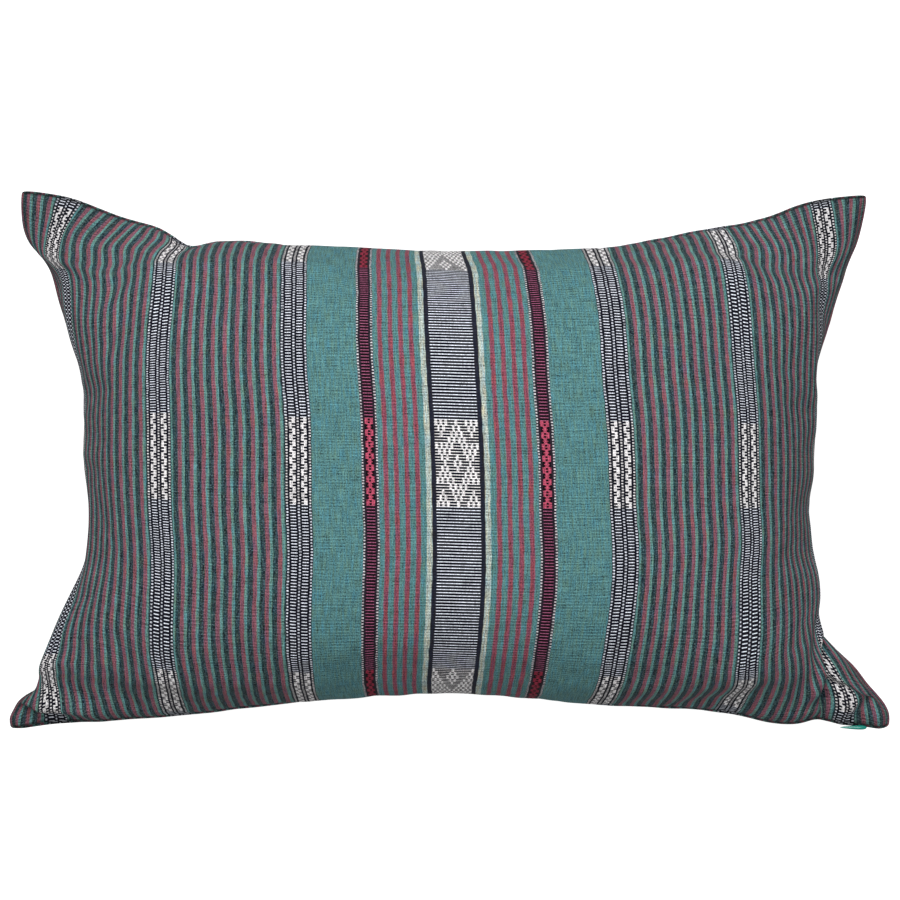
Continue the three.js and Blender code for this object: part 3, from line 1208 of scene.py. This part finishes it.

# %% [markdown]
# Where the cover is sewn, the two panels meet in a sunk line, and the shade that lies in it is painted.
# A group darkens the cloth by its distance from the cut edge, so the painted shade follows the seam all the
# way round.
# The two short sides and the corners get a little painted shade too.

# %% Painted shade along the seam
SEAM_LINE_HALF = 1.0
SEAM_LINE_SOFTNESS = 0.7
SEAM_LINE_SHADE = 0.62
VALLEY_HALF = 4.5
VALLEY_SOFTNESS = 3.5
VALLEY_SHADE = 0.14
CORNER_REACH = 75
CORNER_SOFTNESS = 45
CORNER_SHADE = 0.16


def painted_seam_shade(across, along):
    to_side = COVER_WIDTH / 2 - abs(across)
    to_end = COVER_HEIGHT / 2 - abs(along)
    to_corner = (to_side * to_side + to_end * to_end).root()
    # painted shade: a thin line along the seam, a wider band along the short sides and a patch at each corner
    line = within(to_side.least(to_end), SEAM_LINE_HALF, SEAM_LINE_SOFTNESS) * SEAM_LINE_SHADE
    valley = within(to_side, VALLEY_HALF, VALLEY_SOFTNESS) * VALLEY_SHADE
    corner = within(to_corner, CORNER_REACH, CORNER_SOFTNESS) * CORNER_SHADE
    return [1 - line - valley - corner]


painted_shade_group = node_group("painted_seam_shade", ["Across", "Along"], {"Shade": "Float"}, painted_seam_shade)

# %% [markdown]
# The striped cloth puts the ground, the bands and the weave together. Plain picks are of a pale blue yarn,
# motifs of a pure white one. Real threads would take millions of faces, so the weave is bump: the light
# picks stand a little above the dark ones, which shows where light rakes over the cloth.

# %% The striped cloth
WHITE_YARN = linear(246, 243, 244)
PALE_YARN = linear(238, 243, 255)
BLACK_YARN = linear(8, 9, 26)
BAND_BLACK = linear(17, 19, 33)
CLOTH_ROUGHNESS = 0.76
TINT_ROUGHNESS = 0.1
CLOTH_SHEEN = 0.03
CLOTH_GLOSS = 0.15
WEAVE_DEPTH = 0.35 * MM
WEAVE_RELIEF = 0.5


def woven_colour(across, along, picks):
    dark, dot, motif, pair = picks
    (colour,) = place_group(ground_group, across, along)
    middle_white, middle = place_group(middle_group, across, along, dark, motif, pair)
    double_white, double = place_group(double_group, across, dark, dot, motif, pair)
    burgundy_colour, burgundy = place_group(burgundy_group, across, along, dark, dot, motif, pair)
    light_yarn = paint(PALE_YARN, motif, WHITE_YARN)
    colour = paint(colour, burgundy, burgundy_colour)
    colour = paint(colour, middle, paint(BLACK_YARN, middle_white, light_yarn))
    return paint(colour, double, paint(BAND_BLACK, double_white, light_yarn))


def striped_cloth():
    material = bpy.data.materials.new("striped_cloth")
    material.use_nodes = True
    tree = material.node_tree
    shader = tree.nodes["Principled BSDF"]
    cloth_place = tree.nodes.new("ShaderNodeUVMap")
    cloth_place.uv_map = "cloth"
    parts = tree.nodes.new("ShaderNodeSeparateXYZ")
    tree.links.new(cloth_place.outputs["UV"], parts.inputs[0])
    still_across = Field(tree, parts.outputs["X"]) / MM
    still_along = Field(tree, parts.outputs["Y"]) / MM
    across, along = place_group(wander_group, still_across, still_along)
    picks = place_group(weft_group, along)
    colour = woven_colour(across, along, picks)
    tint, height = place_group(weave_group, across, along, picks[0])
    # the painted shade along the seam, the short sides and the corners darkens the tint
    (painted_edge_shade,) = place_group(painted_shade_group, still_across, still_along)
    tint = tint * painted_edge_shade
    feed(tree, shader.inputs["Base Color"], dye(colour, tint, tint, tint))
    feed(tree, shader.inputs["Roughness"], tint * TINT_ROUGHNESS + CLOTH_ROUGHNESS)
    bump = tree.nodes.new("ShaderNodeBump")
    bump.inputs["Strength"].default_value = WEAVE_RELIEF
    bump.inputs["Distance"].default_value = WEAVE_DEPTH
    feed(tree, bump.inputs["Height"], height)
    tree.links.new(bump.outputs["Normal"], shader.inputs["Normal"])
    shader.inputs["Sheen Weight"].default_value = CLOTH_SHEEN
    shader.inputs["Specular IOR Level"].default_value = CLOTH_GLOSS
    return material


cover_mesh.materials.append(striped_cloth())
print("striped cloth has", len(cover_mesh.materials[0].node_tree.nodes), "nodes")

# %% [markdown]
# Enamel is coloured glass melted on metal: smooth, glossy, and a little cloudy in depth. A clear coat over
# a cloudy colour gives that look in one shader.

# %% The enamel
ENAMEL_DEEP = linear(8, 120, 108)
ENAMEL_PALE = linear(30, 170, 152)
CLOUD_SCALE = 400
ENAMEL_ROUGHNESS = 0.18
ENAMEL_COAT = 0.6
COAT_ROUGHNESS = 0.08


def enamel():
    material = bpy.data.materials.new("turquoise_enamel")
    material.use_nodes = True
    tree = material.node_tree
    shader = tree.nodes["Principled BSDF"]
    cloud = tree.nodes.new("ShaderNodeTexNoise")
    cloud.inputs["Scale"].default_value = CLOUD_SCALE
    cloudy = paint(ENAMEL_DEEP, Field(tree, cloud.outputs["Fac"]), ENAMEL_PALE)
    feed(tree, shader.inputs["Base Color"], cloudy)
    shader.inputs["Roughness"].default_value = ENAMEL_ROUGHNESS
    shader.inputs["Coat Weight"].default_value = ENAMEL_COAT
    shader.inputs["Coat Roughness"].default_value = COAT_ROUGHNESS
    return material


pull.data.materials.append(enamel())
print("materials:", [m.name for m in bpy.data.materials if m.users])

# %% [markdown]
